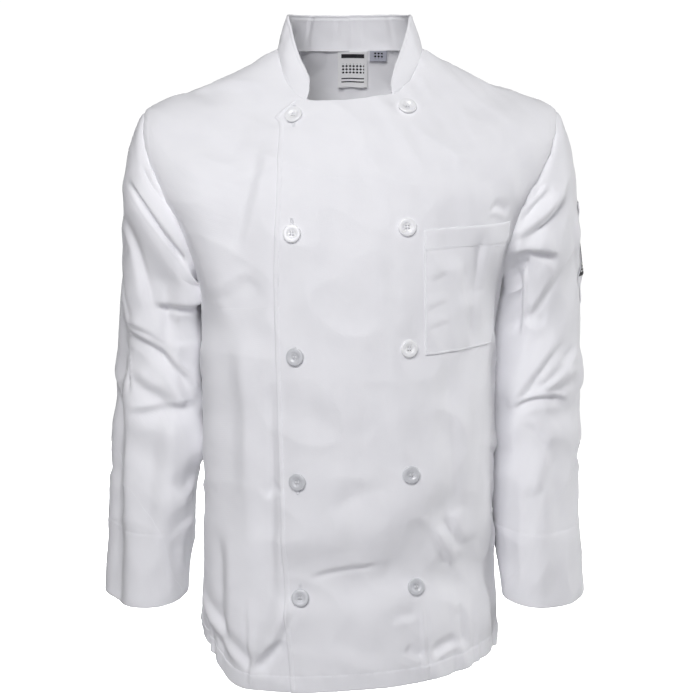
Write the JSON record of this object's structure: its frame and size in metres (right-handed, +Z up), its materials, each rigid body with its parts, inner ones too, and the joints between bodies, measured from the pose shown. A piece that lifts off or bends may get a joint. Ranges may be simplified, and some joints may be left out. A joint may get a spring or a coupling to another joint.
{
  "type": "chef jacket",
  "caption": "White double-breasted chef jacket in worn shape with no wearer: stand collar, long open sleeves, patch pocket on the chest, pen pocket on the sleeve, round buttons.",
  "frame": {"origin": "middle of the neck opening, level with the points where the shoulders meet the collar, where the wearer holds the jacket up", "axes": "+Z up, the front faces -Y, +X toward the wearer's left"},
  "size_m": [0.5478, 0.255, 0.729],
  "materials": {
    "twill": "white polyester-cotton twill, matt with a slight sheen on the folds",
    "label": "white woven label tape",
    "button": "pearly off-white moulded plastic"
  },
  "bodies": {
    "root": {"back": "twill", "left_front": "twill", "right_front": "twill", "left_sleeve": "twill", "right_sleeve": "twill", "collar": "twill", "chest_pocket": "twill", "sleeve_pocket": "twill", "sleeve_label": "label", "neck_label": "label", "size_label": "label", "lapped_button_1": "button", "lapped_button_2": "button", "lapped_button_3": "button", "lapped_button_4": "button", "lapped_button_5": "button", "sewn_button_1": "button", "sewn_button_2": "button", "sewn_button_3": "button", "sewn_button_4": "button", "sewn_button_5": "button"}
  },
  "joints": []
}
